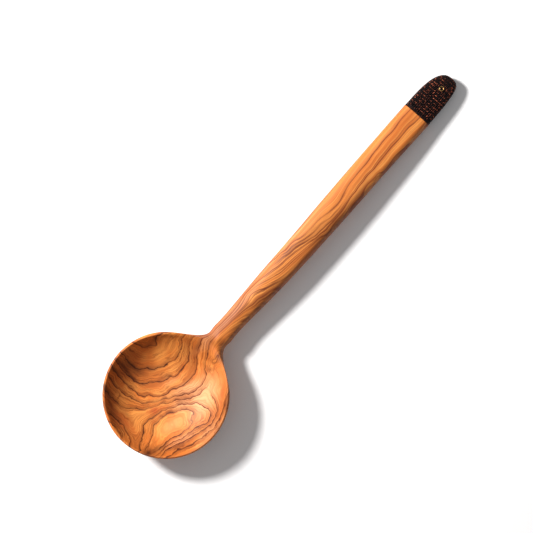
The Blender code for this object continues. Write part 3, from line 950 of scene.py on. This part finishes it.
black_enamel = patinated_copper(
    "black_enamelled_wire", patina="070506", copper="5A2C24", dark=0.66, patch=1.2 * MM
)
bright_copper = patinated_copper(
    "rubbed_copper_wire", patina="120809", copper="A65E46", dark=0.54, patch=1.9 * MM
)
black_weft = lay_wire("woven_weft_black", weft_route(0), black_enamel)
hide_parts("weft_wire_black")
copper_weft = lay_wire("woven_weft_copper", weft_route(1), bright_copper)
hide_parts("weft_wire_copper")


# ---- The mouth binding ---------------------------------------------------------------------------
# The black wire is wound close, three turns round the sleeve's mouth, to lock the warps' ends
# against the wood's shoulder.

BINDING_TURNS = 3
BINDING_START = 0.35 * MM
BINDING_POINTS = 96
BINDING_GAP = 0.02 * MM  # between one turn and the next


def binding_route():
    """A close spiral that starts on top of the handle, on the wood's shoulder."""
    points = []
    for k in range(BINDING_TURNS * BINDING_POINTS):
        length = BINDING_START + (STRAND + BINDING_GAP) * k / BINDING_POINTS
        turn = math.pi / 2 + 2 * math.pi * k / BINDING_POINTS
        points.append(under_skin(angle_at(length), turn, STRAND / 2))
    return points


binding = lay_wire("wound_mouth_binding", binding_route(), black_enamel)
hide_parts("mouth_binding")


# ---- The brass eye -------------------------------------------------------------------------------
# A ring of brass wire on the sleeve's upper face near the tip, held down by two stitches of black
# wire.

eye_low, eye_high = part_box("brass_eye")
EYE_WIRE = 0.5 * MM
EYE_POINTS = 40
BRIGHT_BRASS = "E2BE7C"
DULLED_BRASS = "A87F45"
TOUCH_WIDTH = 0.7 * MM
STITCH_WIRE = 0.42 * MM
# A stitch dives into the weave on both sides of the ring: how far out and how high each of its
# points is
STITCH = [
    (-1.04, -0.5), (-0.64, -0.1), (-0.28, 0.3), (0.0, 0.62),
    (0.28, 0.3), (0.64, -0.1), (1.04, -0.5),
]
WIDEST = 0.98  # the nearest to the sleeve's side that a point on its upper face may lie


def top_of_sleeve(x, y):
    """The height of the sleeve's upper skin over a place."""
    along = (x - MOUTH_X) / (TIP_X - MOUTH_X)
    full = (1 - along**NOSE_FULLNESS) ** (1 / NOSE_FULLNESS)
    drift = MOUTH_DRIFT + (TIP_DRIFT - MOUTH_DRIFT) * along**4
    share = min(abs((y - drift) / (MOUTH_HALF_WIDTH * full)), WIDEST)
    rise = MOUTH_HALF_HEIGHT * full * (1 - share**SLEEVE_FULLNESS) ** (1 / SLEEVE_FULLNESS)
    return MOUTH_MIDDLE + (TIP_MIDDLE - MOUTH_MIDDLE) * along + rise


def on_sleeve(x, y, above):
    """A point above the sleeve's upper skin."""
    return Vector((x, y, top_of_sleeve(x, y) + above))


def bright_brass():
    """Drawn brass wire, left bare: pale gold, and a little dulled by touch."""
    finish, tree, shader = new_finish("bright_brass_wire")
    place = add(tree, "TexCoord", out="Object")
    touch = add(tree, "TexNoise", {"Vector": place, "Scale": 1 / TOUCH_WIDTH, "Detail": 3.0})
    tones = {0: touch, 6: srgb(BRIGHT_BRASS), 7: srgb(DULLED_BRASS)}
    tree.links.new(add(tree, "Mix", tones, out=2, data_type="RGBA"), shader.inputs["Base Color"])
    tree.links.new(add(tree, "MapRange", [touch, 0.0, 1.0, 0.22, 0.42]), shader.inputs["Roughness"])
    shader.inputs["Metallic"].default_value = 1.0
    return finish


eye_middle = (eye_low + eye_high) / 2
eye_radius = (eye_high.x - eye_low.x - EYE_WIRE) / 2
eye_points = []
for k in range(EYE_POINTS):
    turn = 2 * math.pi * k / EYE_POINTS
    x = eye_middle.x + eye_radius * math.cos(turn)
    y = eye_middle.y + eye_radius * math.sin(turn)
    eye_points.append(on_sleeve(x, y, EYE_WIRE / 2))
eye = lay_wire("bent_brass_eye", eye_points, bright_brass(), thickness=EYE_WIRE, closed=True)
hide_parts("brass_eye")

for number, side in ((1, 1), (2, -1)):
    y = eye_middle.y + side * eye_radius
    route = [on_sleeve(eye_middle.x, y + out * MM, up * MM) for out, up in STITCH]
    stitch = lay_wire(f"eye_stitch_{number}", route, black_enamel, thickness=STITCH_WIRE)


# ---- The table -----------------------------------------------------------------------------------
# A sheet of matt white board, 6 m across, which the spoon rests on by the flat under its bowl and
# by the underside of its sleeve.

TABLE_SIDE = 6.0
BOARD_TONES = ("EFEFF0", "ECECED")
MOTTLE_WIDTH = 40 * MM


def white_board():
    """Matt white board: a faint unevenness, and no gloss."""
    finish, tree, shader = new_finish("matt_white_board")
    place = add(tree, "TexCoord", out="Object")
    mottle = add(tree, "TexNoise", {"Vector": place, "Scale": 1 / MOTTLE_WIDTH, "Detail": 2.0})
    tones = {0: mottle, 6: srgb(BOARD_TONES[0]), 7: srgb(BOARD_TONES[1])}
    tree.links.new(add(tree, "Mix", tones, out=2, data_type="RGBA"), shader.inputs["Base Color"])
    shader.inputs["Roughness"].default_value = 0.95
    shader.inputs["Specular IOR Level"].default_value = 0.1
    return finish


def lay_table():
    """A flat square at the height of the spoon's foot."""
    mesh = bpy.data.meshes.new("table")
    board = bmesh.new()
    bmesh.ops.create_grid(board, x_segments=2, y_segments=2, size=TABLE_SIDE / 2)
    board.to_mesh(mesh)
    board.free()
    table = bpy.data.objects.new("table", mesh)
    bpy.context.scene.collection.objects.link(table)
    table.data.materials.append(white_board())


lay_table()


# ---- The light -----------------------------------------------------------------------------------
# One round softbox, 21 cm across, stands 1 m from the spoon on its left side, 43 degrees above the
# table, and draws the long soft-edged shadow. A white ceiling fills it in.

SOFTBOX_PLACE = Vector((-58, 727, 680)) * MM
SOFTBOX_AIM = Vector((90, 0, 0)) * MM
SOFTBOX_WIDTH = 0.21
SOFTBOX_POWER = 20.3
SOFTBOX_COLOUR = (1.0, 0.985, 0.965)
ROOM_COLOUR = (1.0, 0.985, 0.985, 1.0)
FILL = 0.52  # straight overhead, fading to nothing at the horizon
BACKDROP = 0.92  # how bright the room itself looks


def light_spoon():
    """The softbox, turned to face the spoon."""
    lamp = bpy.data.lights.new("softbox", "AREA")
    lamp.shape = "DISK"
    lamp.size = SOFTBOX_WIDTH
    lamp.energy = SOFTBOX_POWER
    lamp.color = SOFTBOX_COLOUR
    softbox = bpy.data.objects.new("softbox", lamp)
    softbox.location = SOFTBOX_PLACE
    aim = SOFTBOX_PLACE - SOFTBOX_AIM
    softbox.rotation_euler = aim.to_track_quat("Z", "Y").to_euler()
    bpy.context.scene.collection.objects.link(softbox)


def light_room():
    """A white ceiling over dim walls. Seen straight on, both look white."""
    world = bpy.data.worlds.new("white_studio")
    world.use_nodes = True
    tree = world.node_tree
    up = add(tree, "SeparateXYZ", [add(tree, "TexCoord", out="Generated")], out="Z")
    above = add(tree, "Math", [up, 0.0], operation="MAXIMUM")
    glow = add(tree, "Math", [above, FILL], operation="MULTIPLY")
    seen = add(tree, "LightPath", out="Is Camera Ray")
    background = tree.nodes["Background"]
    background.inputs["Color"].default_value = ROOM_COLOUR
    strength = add(tree, "Mix", {0: seen, 2: glow, 3: BACKDROP})
    tree.links.new(strength, background.inputs["Strength"])
    bpy.context.scene.world = world


light_spoon()
light_room()
bpy.context.scene.view_settings.view_transform = "Standard"


# ---- The camera ----------------------------------------------------------------------------------
# It looks straight down from 1.4 m, and is turned so that the handle points up and to the right.
# The middle of its view is a little nearer the bowl than the spoon's own middle.

CAMERA_HEIGHT = 1.4
CAMERA_TURN = math.radians(-48.652)
VIEW_WIDTH = 334.7 * MM
VIEW_MIDDLE = Vector((-12.4, 6.0)) * MM  # from the middle of the spoon's length, and from its axis
SENSOR = 36.0


def place_camera():
    """The camera's lens follows from its height and the width it takes in."""
    camera = bpy.data.cameras.new("camera")
    camera.sensor_width = SENSOR
    camera.lens = SENSOR * CAMERA_HEIGHT / VIEW_WIDTH
    seat = bpy.data.objects.new("camera", camera)
    middle = (cad_box[0][0] + cad_box[1][0]) / 2
    seat.location = (middle + VIEW_MIDDLE.x, VIEW_MIDDLE.y, CAMERA_HEIGHT)
    seat.rotation_euler.z = CAMERA_TURN
    bpy.context.scene.collection.objects.link(seat)
    bpy.context.scene.camera = seat


place_camera()
